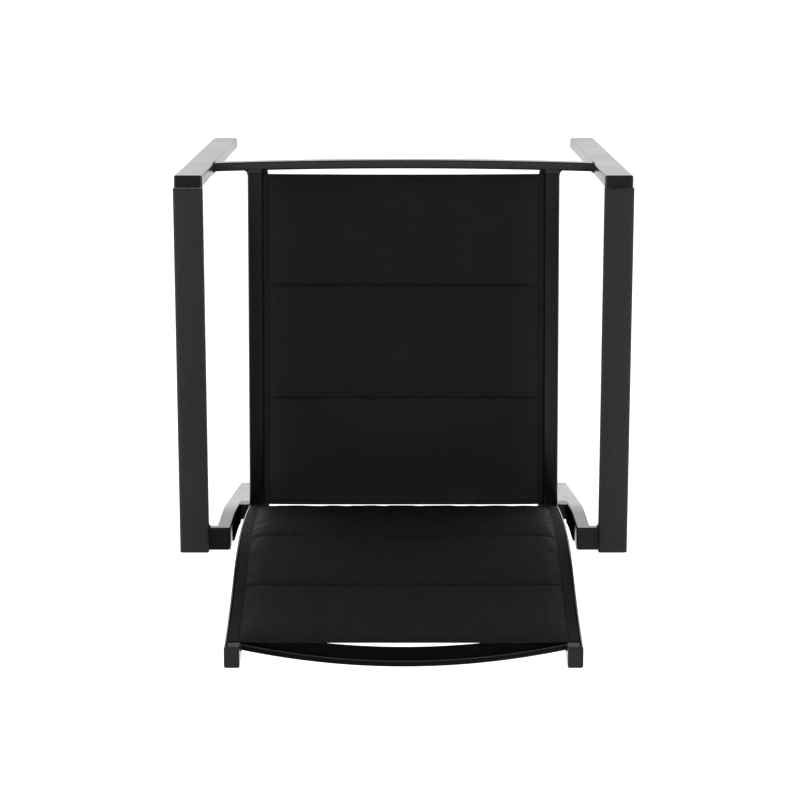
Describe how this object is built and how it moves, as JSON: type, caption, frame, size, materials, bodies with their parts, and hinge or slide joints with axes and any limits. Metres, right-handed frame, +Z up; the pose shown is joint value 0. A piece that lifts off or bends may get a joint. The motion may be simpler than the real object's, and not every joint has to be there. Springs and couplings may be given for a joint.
{
  "type": "sling patio chair",
  "caption": "Stacking armchair with a welded flat-tube frame and a quilted woven-mesh seat and back stretched between extruded rails.",
  "frame": {"origin": "middle of the chair's footprint, on the floor", "axes": "+X to the sitter's left, +Y to the chair's back, +Z up"},
  "size_m": [0.5756, 0.5662, 0.928],
  "materials": {
    "frame_paint": "satin black powder coat with a fine orange peel",
    "arm_pad": "charcoal moulded plank with a faint lengthwise wood-like grain",
    "sling_cloth": "black coated mesh in a fine basket weave",
    "foam": "grey open foam, matt",
    "edge_rod": "extruded dark plastic rod",
    "trim_plastic": "moulded charcoal plastic with a fine grain",
    "screw_steel": "zinc-plated"
  },
  "bodies": {
    "root": {"front_leg_left": "frame_paint", "front_leg_right": "frame_paint", "arm_tube_left": "frame_paint", "arm_tube_right": "frame_paint", "arm_pad_left": "arm_pad", "arm_pad_right": "arm_pad", "arm_end_plug_left": "trim_plastic", "arm_end_plug_right": "trim_plastic", "rear_leg_left": "frame_paint", "rear_leg_right": "frame_paint", "rear_arm_stub_left": "frame_paint", "rear_arm_stub_right": "frame_paint", "front_foot_glide_left": "trim_plastic", "front_foot_glide_right": "trim_plastic", "rear_foot_glide_left": "trim_plastic", "rear_foot_glide_right": "trim_plastic", "seat_rail_left": "frame_paint", "seat_rail_right": "frame_paint", "seat_channel_plug_left": "trim_plastic", "seat_channel_plug_right": "trim_plastic", "seat_edge_rod_left": "edge_rod", "seat_edge_rod_right": "edge_rod", "back_rail_left": "frame_paint", "back_rail_right": "frame_paint", "back_rail_cap_left": "trim_plastic", "back_rail_cap_right": "trim_plastic", "back_edge_rod_left": "edge_rod", "back_edge_rod_right": "edge_rod", "arm_pad_screw_1_left": "screw_steel", "arm_pad_screw_1_right": "screw_steel", "arm_pad_screw_2_left": "screw_steel", "arm_pad_screw_2_right": "screw_steel", "arm_pad_screw_3_left": "screw_steel", "arm_pad_screw_3_right": "screw_steel", "front_crossbar": "frame_paint", "rear_crossbar": "frame_paint", "top_crossbar": "frame_paint", "seat_sling_top": "sling_cloth", "seat_sling_backing": "sling_cloth", "back_sling_top": "sling_cloth", "back_sling_backing": "sling_cloth", "seat_foam_front": "foam", "seat_foam_middle": "foam", "seat_foam_rear": "foam", "back_foam_lower": "foam", "back_foam_middle": "foam", "back_foam_upper": "foam"}
  },
  "joints": []
}
